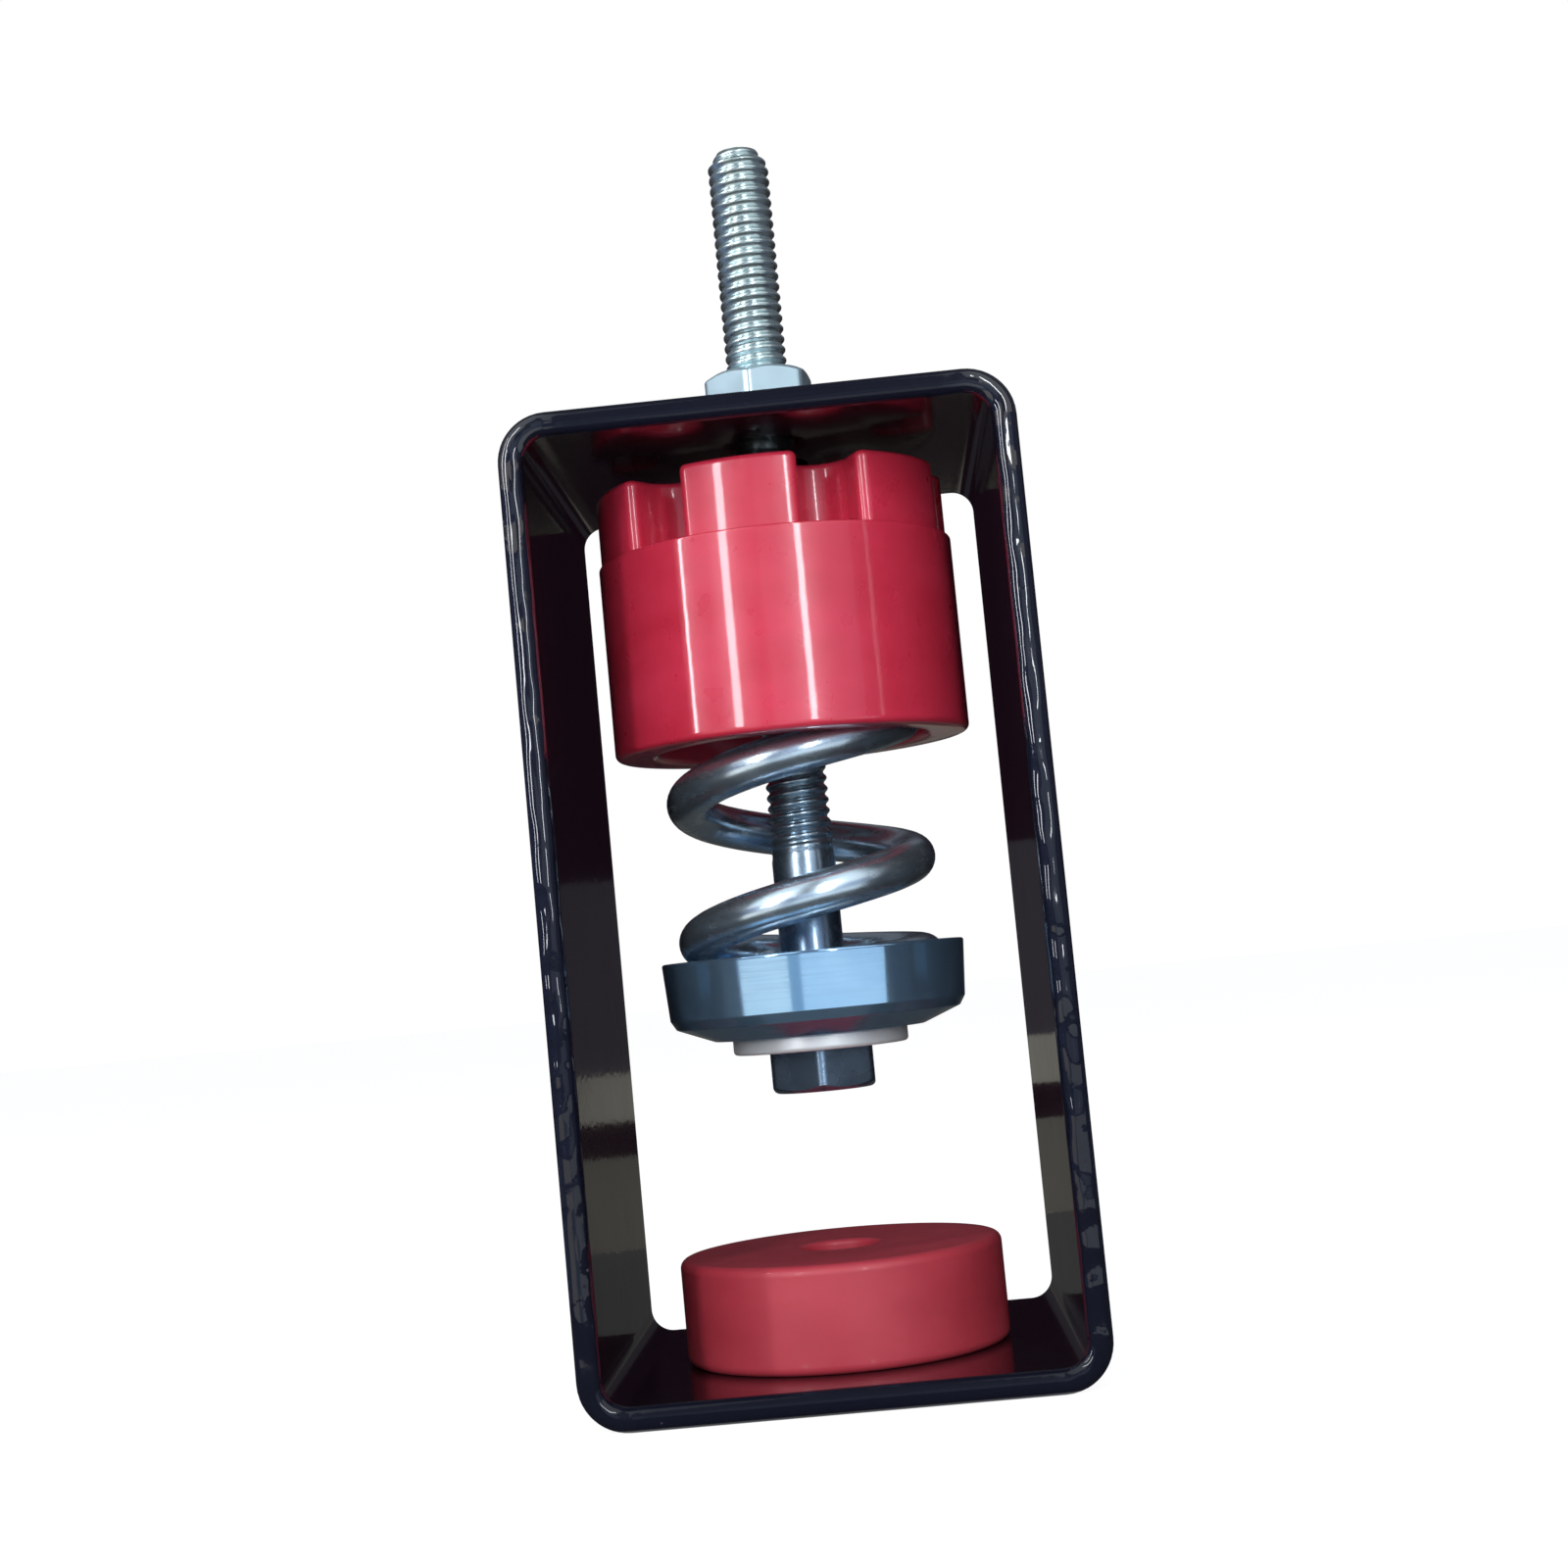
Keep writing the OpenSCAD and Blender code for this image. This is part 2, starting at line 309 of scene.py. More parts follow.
def add_product(tree, first, second):
    """Two values multiplied."""
    node = tree.nodes.new("ShaderNodeMath")
    node.operation = "MULTIPLY"
    tree.links.new(first, node.inputs[0])
    tree.links.new(second, node.inputs[1])
    return node.outputs["Value"]


def add_axes(tree, vector):
    """The three coordinates of a place, by the names X, Y and Z."""
    split = tree.nodes.new("ShaderNodeSeparateXYZ")
    tree.links.new(vector, split.inputs["Vector"])
    return split.outputs


def add_specks(tree, vector, scale, share, size):
    """Small round specks in some of the cells of a scattered pattern."""
    cells = tree.nodes.new("ShaderNodeTexVoronoi")
    cells.inputs["Scale"].default_value = scale
    tree.links.new(vector, cells.inputs["Vector"])
    dot = add_range(tree, cells.outputs["Distance"], size * SPECK_CORE, size, 1.0, 0.0)
    split = tree.nodes.new("ShaderNodeSeparateColor")
    tree.links.new(cells.outputs["Color"], split.inputs["Color"])
    chosen = add_range(tree, split.outputs["Red"], share, share * SPECK_CUT, 1.0, 0.0)
    return add_product(tree, dot, chosen)


def add_edge_mask(tree, amount, edge, fade):
    """One close to an edge on either side of the middle, fading to zero further in."""
    size = tree.nodes.new("ShaderNodeMath")
    size.operation = "ABSOLUTE"
    tree.links.new(amount, size.inputs[0])
    return add_range(tree, size.outputs["Value"], edge - fade[0], edge - fade[1], 0.0, 1.0)


def black_paint():
    """Glossy black enamel with orange peel, a painted bluish reflection in the rims' colour, runs on the
    rims down the sides, and a little dust.

    The rims at the sides are the brightest, and most so near the top.
    """
    dark = (0.0058, 0.0040, 0.0064)
    light = (0.0088, 0.0064, 0.0104)
    # painted reflection: a navy tint for the rims' base colour, standing in for the bluish surroundings
    # they mirror
    painted_rim_reflection = (0.0062, 0.0070, 0.0150)
    dusty = (0.10, 0.11, 0.13)
    material, tree, shader, place = new_material("black_paint")
    axes = add_axes(tree, place)
    rim = add_edge_mask(tree, axes["Y"], cad_high.y, RIM_FADE)
    side = add_edge_mask(tree, axes["X"], cad_high.x, SIDE_FADE)
    runs = add_product(tree, rim, side)
    cloud = add_noise(tree, place, scale=90, detail=3)
    # The rims' base colour is mixed towards navy, a painted reflection.
    colour = add_mix(tree, rim, add_mix(tree, cloud, dark, light), painted_rim_reflection)
    dust = add_specks(tree, place, scale=420, share=0.03, size=0.12)
    tree.links.new(add_mix(tree, dust, colour, dusty), shader.inputs["Base Color"])
    tree.links.new(add_range(tree, cloud, 0.3, 0.7, 0.22, 0.30), shader.inputs["Roughness"])
    shader.inputs["Specular IOR Level"].default_value = 0.04
    peel = add_bump(tree, add_noise(tree, place, scale=1100, detail=1), PEEL_DEPTH)
    ripple = add_noise(tree, place, scale=430, detail=0, stretch=(1.0, 1.0, 0.6))
    wavy = add_bump(tree, ripple, RUN_DEPTH, under=peel, mask=runs)
    tree.links.new(wavy, shader.inputs["Normal"])
    tree.links.new(wavy, shader.inputs["Coat Normal"])
    bright = add_product(tree, side, add_range(tree, axes["Z"], *BRIGHT_RIM_Z, 0.35, 1.0))
    dull = add_product(tree, rim, add_range(tree, bright, 0.0, 1.0, 1.0, 0.0))
    tree.links.new(add_range(tree, dull, 0.0, 1.0, 0.9, 0.25), shader.inputs["Coat Weight"])
    shader.inputs["Coat IOR"].default_value = 1.72
    patches = add_product(tree, runs, add_noise(tree, place, scale=300, detail=1))
    tree.links.new(add_range(tree, patches, 0.38, 0.56, 0.07, 0.03), shader.inputs["Coat Roughness"])
    return material


def red_rubber(name, dark, light, rough, coat):
    """Moulded red elastomer with faint flow marks and a fine surface grain."""
    material, tree, shader, place = new_material(name)
    marks = add_noise(tree, place, scale=70, detail=4, stretch=(1.0, 1.0, 2.2))
    flow = add_range(tree, marks, 0.3, 0.7, 0.0, 1.0)
    tree.links.new(add_mix(tree, flow, dark, light), shader.inputs["Base Color"])
    smear = add_noise(tree, place, scale=260, detail=3)
    tree.links.new(add_range(tree, smear, 0.3, 0.7, *rough), shader.inputs["Roughness"])
    waves = add_bump(tree, add_noise(tree, place, scale=420, detail=1), WAVE_DEPTH)
    fine = add_noise(tree, place, scale=2200, detail=1)
    grain = add_bump(tree, fine, GRAIN_DEPTH, under=waves)
    tree.links.new(grain, shader.inputs["Normal"])
    tree.links.new(waves, shader.inputs["Coat Normal"])
    shader.inputs["Subsurface Weight"].default_value = 0.12
    shader.inputs["Subsurface Radius"].default_value = (0.0030, 0.0006, 0.0007)
    shader.inputs["Subsurface Scale"].default_value = 1.0
    shader.inputs["Coat Weight"].default_value = coat
    shader.inputs["Coat Roughness"].default_value = 0.07
    return material


def plated_steel(name, dark, light, rough, metal, stretch=None, scale=300, painted_shade=None):
    """Plated or drawn steel, whose fine lines run across the stretched axis.

    Where a colour of painted shade is given, the plating is mixed towards it lower down, as painted
    shade inside the frame.
    """
    material, tree, shader, place = new_material(name)
    lines = add_noise(tree, place, scale=scale, detail=1, stretch=stretch)
    cloud = add_noise(tree, place, scale=140, detail=3)
    colour = add_mix(tree, add_range(tree, cloud, 0.35, 0.65, 0.0, 1.0), dark, light)
    # painted shade: the plating turns darker and bluer lower down, where the frame shades the bolt
    if painted_shade:
        depth = add_range(tree, add_axes(tree, place)["Z"], *PAINTED_SHADE_Z, 0.0, 1.0)
        colour = add_mix(tree, depth, colour, painted_shade)
    tree.links.new(colour, shader.inputs["Base Color"])
    tree.links.new(add_range(tree, lines, 0.3, 0.7, *rough), shader.inputs["Roughness"])
    shader.inputs["Metallic"].default_value = metal
    return material


def make_materials():
    """One material for each of the record's slots."""
    return {
        "black_paint": black_paint(),
        "red_rubber_cup": red_rubber(
            "red_rubber_cup", (0.56, 0.022, 0.052), (0.66, 0.034, 0.078),
            rough=(0.26, 0.36), coat=0.9),
        "red_rubber_pad": red_rubber(
            "red_rubber_pad", (0.43, 0.034, 0.054), (0.51, 0.046, 0.070),
            rough=(0.42, 0.54), coat=0.1),
        "spring_steel": plated_steel(
            "spring_steel", (0.64, 0.78, 0.91), (0.72, 0.86, 0.98),
            rough=(0.21, 0.29), metal=0.94, stretch=(1.0, 1.0, 3.0)),
        "blued_steel": plated_steel(
            "blued_steel", (0.37, 0.62, 0.91), (0.43, 0.69, 0.97),
            rough=(0.08, 0.15), metal=0.90, stretch=(1.0, 1.0, 30.0), scale=120),
        "zinc_washer": plated_steel(
            "zinc_washer", (0.90, 0.92, 0.94), (0.95, 0.96, 0.97),
            rough=(0.30, 0.42), metal=0.40, scale=400),
        # painted shade on the bolt's head and shank, darker and bluer towards the foot
        "zinc_bolt": plated_steel(
            "zinc_bolt", (0.58, 0.69, 0.70), (0.64, 0.75, 0.76),
            rough=(0.22, 0.30), metal=0.95, painted_shade=(0.32, 0.44, 0.58)),
        "zinc_nut": plated_steel(
            "zinc_nut", (0.54, 0.71, 0.79), (0.60, 0.77, 0.85),
            rough=(0.28, 0.38), metal=0.85),
    }


# Mesh helpers


def round_size(node):
    """Radius, lowest and highest point of a round node."""
    low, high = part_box(node)
    return (high.x - low.x) / 2, low.z, high.z


def turned(vector, angle):
    """A flat vector turned anticlockwise."""
    cos, sin = math.cos(angle), math.sin(angle)
    return Vector((vector.x * cos - vector.y * sin, vector.x * sin + vector.y * cos))


def filleted(corners):
    """Closed outline through corners given as (r, z, rounding), with each rounding as an arc."""
    points = []
    count = len(corners)
    for i, (r, z, rounding) in enumerate(corners):
        here = Vector((r, z))
        if not rounding:
            points.append(here)
            continue
        before = (Vector(corners[i - 1][:2]) - here).normalized()
        after = (Vector(corners[(i + 1) % count][:2]) - here).normalized()
        half = math.acos(max(-1.0, min(1.0, before.dot(after)))) / 2
        centre = here + (before + after).normalized() * rounding / math.sin(half)
        start = here + before * rounding / math.tan(half) - centre
        sweep = start.angle_signed(here + after * rounding / math.tan(half) - centre)
        for k in range(FILLET_STEPS + 1):
            points.append(centre + turned(start, -sweep * k / FILLET_STEPS))
    return points


def circle_ring(bm, radius, z, columns, start=0.0):
    """A ring of points, whose radius and height are numbers or functions of the angle."""
    ring = []
    for i in range(columns):
        angle = start + TURN * i / columns
        reach = radius(angle) if callable(radius) else radius
        height = z(angle) if callable(z) else z
        ring.append(bm.verts.new((reach * math.cos(angle), reach * math.sin(angle), height)))
    return ring


def join_rings(bm, rings, closed=False):
    """Four-sided faces between each ring and the next."""
    pairs = list(zip(rings, rings[1:]))
    if closed:
        pairs.append((rings[-1], rings[0]))
    for ring, other in pairs:
        for i in range(len(ring)):
            j = (i + 1) % len(ring)
            bm.faces.new((ring[i], ring[j], other[j], other[i]))


def braced(outline):
    """A closed outline with a point near both ends of each long side, to keep it flat when smoothed."""
    points = []
    for k, here in enumerate(outline):
        after = outline[(k + 1) % len(outline)]
        points.append(here)
        if (after - here).length > 6 * BRACE:
            step = (after - here).normalized() * BRACE
            points += [here + step, after - step]
    return points


def revolve(bm, outline):
    """A closed outline of (r, z) points turned round the Z axis."""
    join_rings(bm, [circle_ring(bm, r, z, ROUND_COLUMNS) for r, z in braced(outline)], closed=True)


def ring_edges(bm, ring):
    """The edges along a ring of points, made where they are missing."""
    edges = []
    for i, vert in enumerate(ring):
        other = ring[(i + 1) % len(ring)]
        edges.append(bm.edges.get((vert, other)) or bm.edges.new((vert, other)))
    return edges


def place_piece(name, bm, node, body, slot, materials, smooth_deg=32):
    """The finished mesh as a piece that stands for a node and rides on its body."""
    bmesh.ops.remove_doubles(bm, verts=bm.verts, dist=WELD)
    bmesh.ops.dissolve_degenerate(bm, edges=bm.edges, dist=WELD)
    bmesh.ops.recalc_face_normals(bm, faces=bm.faces)
    mesh = bpy.data.meshes.new(name)
    bm.to_mesh(mesh)
    bm.free()
    mesh.polygons.foreach_set("use_smooth", [True] * len(mesh.polygons))
    mesh.set_sharp_from_angle(angle=math.radians(smooth_deg))
    piece = bpy.data.objects.new(name, mesh)
    bpy.context.scene.collection.objects.link(piece)
    mesh.materials.append(materials[slot])
    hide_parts(node)
    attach(piece, body)
    return piece


# Pieces


def hex_reach(turn_deg, limit):
    """Reach of a hexagon's side at an angle, with its corners turned off at a limit."""
    def reach(angle):
        off = (angle - math.radians(turn_deg)) % (TURN / 6) - TURN / 12
        return min(HEX_AF / 2 / math.cos(off), limit)
    return reach


def hex_rings(bm, low, high, turn_deg, both_ends):
    """Rings up the outside of a hex block, with its corners chamfered below or at both ends."""
    face = HEX_FACE_SHARE * HEX_AF / 2
    side = hex_reach(turn_deg, HEX_AF / 2 / math.cos(TURN / 12) - HEX_CORNER)
    slope = math.tan(math.radians(HEX_CHAMFER_DEG))
    start = math.radians(turn_deg)

    def drop(angle):
        return (side(angle) - face) * slope

    def inner(angle):
        return side(angle) - HEX_EDGE

    def ring(reach, height):
        return circle_ring(bm, reach, height, HEX_COLUMNS, start)

    rings = [
        ring(face, low),
        ring(inner, lambda angle: low + drop(angle) - HEX_EDGE * slope),
        ring(side, lambda angle: low + drop(angle) + HEX_EDGE),
    ]
    if both_ends:
        rings.append(ring(side, lambda angle: high - drop(angle) - HEX_EDGE))
        rings.append(ring(inner, lambda angle: high - drop(angle) + HEX_EDGE * slope))
        rings.append(ring(face, high))
    else:
        rings.append(ring(side, high - HEX_EDGE))
        rings.append(ring(inner, high))
    return rings


def thread_rows(bm, low, high):
    """A right-handed thread from its run-out at low to its tapered tip at high.

    Each row follows the helix, so that the crest and the root lie along the rows.
    """
    columns = THREAD_COLUMNS
    steps = THREAD_STEPS
    crest = THREAD_D / 2
    tip = crest - TIP_TAPER
    groove = [(0.5 - 0.5 * math.cos(TURN * k / steps)) ** THREAD_FORM for k in range(steps)]
    rise = THREAD_PITCH / steps
    count = int((high - low) / rise) + 2 * steps + 2
    rows = []
    for i in range(count):
        row = []
        for j in range(columns):
            z = low + (i - steps) * rise + THREAD_PITCH * j / columns
            z = min(max(z, low), high)
            fade = min(1.0, (z - low) / THREAD_FADE_IN, (high - z) / THREAD_FADE_OUT)
            reach = min(crest, tip + TIP_TAPER * (high - z) / TIP_LEN)
            reach -= THREAD_DEPTH * groove[i % steps] * fade
            angle = TURN * j / columns
            row.append(bm.verts.new((reach * math.cos(angle), reach * math.sin(angle), z)))
        rows.append(row)
    for i in range(count - 1):
        for j in range(columns - 1):
            bm.faces.new((rows[i][j], rows[i][j + 1], rows[i + 1][j + 1], rows[i + 1][j]))
        if i + 1 + steps < count:
            seam = rows[i + steps][0], rows[i + 1 + steps][0]
            bm.faces.new((rows[i][-1], seam[0], seam[1], rows[i + 1][-1]))


def build_bolt(materials):
    """Hex bolt with a modelled thread, a plain shank and a chamfered head."""
    _, low, high = round_size("hanger_bolt")
    seat = low + HEAD_H
    thread_low = seat + SHANK_LEN
    bm = bmesh.new()
    head = hex_rings(bm, low, seat, HEAD_TURN_DEG, both_ends=False)
    join_rings(bm, head)
    bm.faces.new(head[0])
    bm.faces.new(head[-1])
    shank = [
        circle_ring(bm, SHANK_D / 2, seat - HEAD_H / 2, THREAD_COLUMNS),
        circle_ring(bm, SHANK_D / 2, thread_low - SHANK_RUNOUT, THREAD_COLUMNS),
        circle_ring(bm, THREAD_D / 2, thread_low, THREAD_COLUMNS),
    ]
    join_rings(bm, shank)
    bm.faces.new(shank[0])
    thread_rows(bm, thread_low, high)
    tip = circle_ring(bm, THREAD_D / 2 - TIP_TAPER, high, THREAD_COLUMNS)
    bm.faces.new(tip)
    place_piece("bolt_with_thread", bm, "hanger_bolt", "bolt", "zinc_bolt", materials, smooth_deg=28)


def build_nut(materials):
    """Hex nut chamfered on both sides, with a countersunk bore."""
    _, low, high = round_size("top_nut")
    start = math.radians(NUT_TURN_DEG)
    bore = NUT_BORE_D / 2
    sunk = bore + NUT_SINK
    bm = bmesh.new()
    outside = hex_rings(bm, low, high, NUT_TURN_DEG, both_ends=True)
    down_the_bore = ((sunk, high), (bore, high - NUT_SINK), (bore, low + NUT_SINK), (sunk, low))
    inside = [circle_ring(bm, r, z, HEX_COLUMNS, start) for r, z in down_the_bore]
    join_rings(bm, outside + inside, closed=True)
    place_piece("nut_on_top", bm, "top_nut", "bolt", "zinc_nut", materials)


def build_washer(materials):
    """Punched flat washer with one rolled edge, with a hair of room to turn under the seat."""
    radius, low, high = round_size("seat_washer")
    high -= TURNING_GAP
    bore = BOLT_HOLE_D / 2
    bm = bmesh.new()
    revolve(bm, filleted([
        (bore, low, FINE_EDGE), (radius, low, ROLLED_EDGE),
        (radius, high, FINE_EDGE), (bore, high, FINE_EDGE),
    ]))
    place_piece("flat_washer", bm, "seat_washer", "bolt", "zinc_washer", materials)


def build_seat(materials):
    """Turned dish with broken edges, a coned underside and a recess for the spring."""
    radius, low, high = round_size("spring_seat")
    floor = high - SEAT_RECESS
    cone_top = low + SEAT_CONE_H
    side = radius - SEAT_DRAFT
    hole = SPRING_HOLE_D / 2
    bore = BOLT_HOLE_D / 2
    bm = bmesh.new()
    revolve(bm, filleted([
        (bore, low, BROKEN_EDGE), (SEAT_FOOT_D / 2, low, BROKEN_EDGE),
        (side - SEAT_EDGE_R * SEAT_EDGE_LEAN, cone_top, FINE_EDGE),
        (side, cone_top + SEAT_EDGE_R, ROUNDED_EDGE), (radius, high, BROKEN_EDGE),
        (hole, high, EASED_EDGE), (hole, floor, ROLLED_EDGE), (bore, floor, BROKEN_EDGE),
    ]))
    place_piece("seat_dish", bm, "spring_seat", "seat", "blued_steel", materials, smooth_deg=25)


def build_spring(materials):
    """Round wire along the helix, with closed end turns ground flat at the two seats."""
    low, high = (corner.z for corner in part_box("coil_spring"))
    coil_r = (SPRING_OD - WIRE_D) / 2
    end_pitch = WIRE_D + TURN_GAP
    turns = OPEN_TURNS + 2
    open_pitch = end_pitch + (high - low - end_pitch * turns) / OPEN_TURNS

    def eased(t):
        """Turns past a change of pitch, eased in over the ramp."""
        if t < -PITCH_RAMP / 2:
            return 0.0
        if t > PITCH_RAMP / 2:
            return t
        return (t + PITCH_RAMP / 2) ** 2 / (2 * PITCH_RAMP)

    def rise(t):
        """Height of the wire's centre above the low end, after t turns."""
        return end_pitch * t + (open_pitch - end_pitch) * (eased(t - 1) - eased(t - 1 - OPEN_TURNS))

    count = round(turns * WIRE_STEPS)
    bm = bmesh.new()
    rings = []
    for i in range(count + 1):
        t = turns * i / count
        heading = math.radians(SPRING_START_DEG) + TURN * t
        centre = low + rise(t)
        climb = (rise(t + SLOPE_STEP) - rise(t - SLOPE_STEP)) / (2 * SLOPE_STEP)
        slope = math.atan2(climb, TURN * coil_r)
        ring = []
        for k in range(WIRE_SIDES):
            angle = TURN * k / WIRE_SIDES
            out = WIRE_D / 2 * math.cos(angle)
            up = WIRE_D / 2 * math.sin(angle)
            along = heading - up * math.sin(slope) / coil_r
            reach = coil_r + out
            z = min(max(centre + up * math.cos(slope), low), high)
            ring.append(bm.verts.new((reach * math.cos(along), reach * math.sin(along), z)))
        rings.append(ring)
    join_rings(bm, rings)
    bm.faces.new(rings[0])
    bm.faces.new(rings[-1])
    spring = place_piece(
        "wire_spring", bm, "coil_spring", "cup", "spring_steel", materials, smooth_deg=40)
    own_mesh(spring)


def arc(centre, radius, start, end, steps, inward=False):
    """Points on an arc with the outward normal of the solid at each."""
    made = []
    for k in range(steps + 1):
        angle = start + (end - start) * k / steps
        way = Vector((math.cos(angle), math.sin(angle)))
        made.append((centre + way * radius, -way if inward else way))
    return made


def lug_outline(lug_r):
    """Plan of the lugs: a circle with a round-ended notch between each lug and the next."""
    half = NOTCH_W / 2
    end_x = lug_r - NOTCH_DEPTH + half
    mouth_y = half + NOTCH_MOUTH_R
    mouth_x = math.sqrt((lug_r - NOTCH_MOUTH_R) ** 2 - mouth_y ** 2)
    lean = math.atan2(mouth_y, mouth_x)
    quarter = TURN / 4
    notch = arc(Vector((mouth_x, -mouth_y)), NOTCH_MOUTH_R, -lean, quarter, NOTCH_MOUTH_STEPS)
    notch += arc(Vector((end_x, 0)), half, -quarter, -3 * quarter, NOTCH_END_STEPS, inward=True)
    notch += arc(Vector((mouth_x, mouth_y)), NOTCH_MOUTH_R, -quarter, lean, NOTCH_MOUTH_STEPS)
    lug = arc(Vector((0, 0)), lug_r, lean, TURN / LUG_COUNT - lean, LUG_STEPS)[1:-1]
    outline = []
    for k in range(LUG_COUNT):
        turn = math.radians(LUG_START_DEG) + (k + 0.5) * TURN / LUG_COUNT
        for point, normal in notch + lug:
            outline.append((turned(point, turn), turned(normal, turn)))
    return outline


def quarter_round(steps):
    """Steps over a quarter of a turn, as what is left to one of the cosine and of the sine."""
    turns = [TURN / 4 * k / steps for k in range(steps + 1)]
    return [(1 - math.cos(turn), 1 - math.sin(turn)) for turn in turns]


def build_cup(materials):
    """Rubber cup with rounded lugs on top, a pocket underneath and a hole for the bolt."""
    radius, low, high = round_size("rubber_cup")
    ledge = high - LUG_H
    pocket = SPRING_HOLE_D / 2
    pocket_top = low + POCKET_DEPTH
    hole = CUP_HOLE_D / 2
    lug_edge = high - LUG_EDGE_R
    bm = bmesh.new()

    outline = lug_outline(radius - LUG_INSET)
    rows = [(0.0, ledge), (0.0, lug_edge - BRACE), (0.0, lug_edge)]
    for c, s in quarter_round(LUG_EDGE_STEPS)[1:]:
        rows.append((LUG_EDGE_R * c, high - LUG_EDGE_R * s))
    lug_rings = []
    for inset, z in rows:
        lug_rings.append([bm.verts.new((*(point - normal * inset), z)) for point, normal in outline])
    join_rings(bm, lug_rings)

    body = []
    for c, s in quarter_round(SMALL_EDGE_STEPS):
        body.append((radius - CUP_SHOULDER_R * s, ledge - CUP_SHOULDER_R * c))
    body += [(radius, ledge - CUP_SHOULDER_R - BRACE), (radius, low + CUP_EDGE_R + BRACE)]
    for c, s in quarter_round(CUP_EDGE_STEPS):
        body.append((radius - CUP_EDGE_R * c, low + CUP_EDGE_R * s))
    for c, s in quarter_round(CUP_EDGE_STEPS):
        body.append((pocket + CUP_EDGE_R * s, low + CUP_EDGE_R * c))
    body += [(pocket, pocket_top), (hole, pocket_top), (hole, lug_edge)]
    for c, s in quarter_round(SMALL_EDGE_STEPS)[1:]:
        body.append((hole + LUG_EDGE_R * c, high - LUG_EDGE_R * s))
    body_rings = [circle_ring(bm, r, z, ROUND_COLUMNS) for r, z in body]
    join_rings(bm, body_rings)

    for first, second in ((lug_rings[0], body_rings[0]), (lug_rings[-1], body_rings[-1])):
        bmesh.ops.triangle_fill(
            bm, use_beauty=True, use_dissolve=False,
            edges=ring_edges(bm, first) + ring_edges(bm, second))
    place_piece("cup_with_lugs", bm, "rubber_cup", "cup", "red_rubber_cup", materials)


def build_pad(materials):
    """Rubber pad with rounded edges, its centring spigot and its bore."""
    radius, low, high = round_size("foot_pad")
    bore = PAD_BORE_D / 2
    spigot = PAD_SPIGOT_D / 2
    bm = bmesh.new()
    revolve(bm, filleted([
        (bore, low, BROKEN_EDGE), (spigot, low, EASED_EDGE), (spigot, WALL_T, 0.0),
        (radius, WALL_T, PAD_EDGE_R), (radius, high, PAD_EDGE_R), (bore, high, ROUNDED_EDGE),
    ]))
    place_piece("rubber_pad", bm, "foot_pad", "housing", "red_rubber_pad", materials)


# Studio


def aim(thing, target, roll_deg=0.0):
    """Turns a camera or a lamp towards a point."""
    way = Vector(target) - thing.location
    thing.rotation_mode = "QUATERNION"
    roll = Quaternion((0, 0, 1), math.radians(-roll_deg))
    thing.rotation_quaternion = way.to_track_quat("-Z", "Y") @ roll


def make_camera():
    """The camera of the photograph, from a little below the middle and tilted to one side."""
    data = bpy.data.cameras.new("camera")
    data.sensor_width = SENSOR_W
    data.lens = CAMERA_LENS
    data.clip_start, data.clip_end = CAMERA_CLIP
    camera = bpy.data.objects.new("camera", data)
    bpy.context.scene.collection.objects.link(camera)
    camera.location = CAMERA_AT
    aim(camera, CAMERA_AIM, CAMERA_ROLL_DEG)
    bpy.context.scene.camera = camera


def background_rays(tree):
    """One for the rays that show the background: seen directly, mirrored or refracted."""
    path = tree.nodes.new("ShaderNodeLightPath")
    total = path.outputs["Is Camera Ray"]
    for name in ("Is Glossy Ray", "Is Transmission Ray"):
        either = tree.nodes.new("ShaderNodeMath")
        either.operation = "MAXIMUM"
        tree.links.new(total, either.inputs[0])
        tree.links.new(path.outputs[name], either.inputs[1])
        total = either.outputs["Value"]
    return total


def make_world():
    """White where it is seen, and a soft grey-blue light elsewhere."""
    world = bpy.data.worlds.new("studio")
    bpy.context.scene.world = world
    world.use_nodes = True
    tree = world.node_tree
    light = tree.nodes["Background"]
    light.inputs["Color"].default_value = (*WORLD_COLOUR, 1.0)
    light.inputs["Strength"].default_value = WORLD_STRENGTH
    white = tree.nodes.new("ShaderNodeBackground")
    white.inputs["Color"].default_value = (1.0, 1.0, 1.0, 1.0)
    white.inputs["Strength"].default_value = 1.0
    mix = tree.nodes.new("ShaderNodeMixShader")
    tree.links.new(background_rays(tree), mix.inputs["Fac"])
    tree.links.new(light.outputs["Background"], mix.inputs[1])
    tree.links.new(white.outputs["Background"], mix.inputs[2])
    tree.links.new(mix.outputs["Shader"], tree.nodes["World Output"].inputs["Surface"])


def stage_sheet(name, points, material):
    """A sheet of the studio between the first half of its points and the second half, run back."""
    mesh = bpy.data.meshes.new(name)
    count = len(points)
    faces = [(k, k + 1, count - k - 2, count - k - 1) for k in range(count // 2 - 1)]
    mesh.from_pydata([tuple(point) for point in points], [], faces)
    mesh.materials.append(material)
    sheet = bpy.data.objects.new(name, mesh)
    bpy.context.scene.collection.objects.link(sheet)
    return sheet


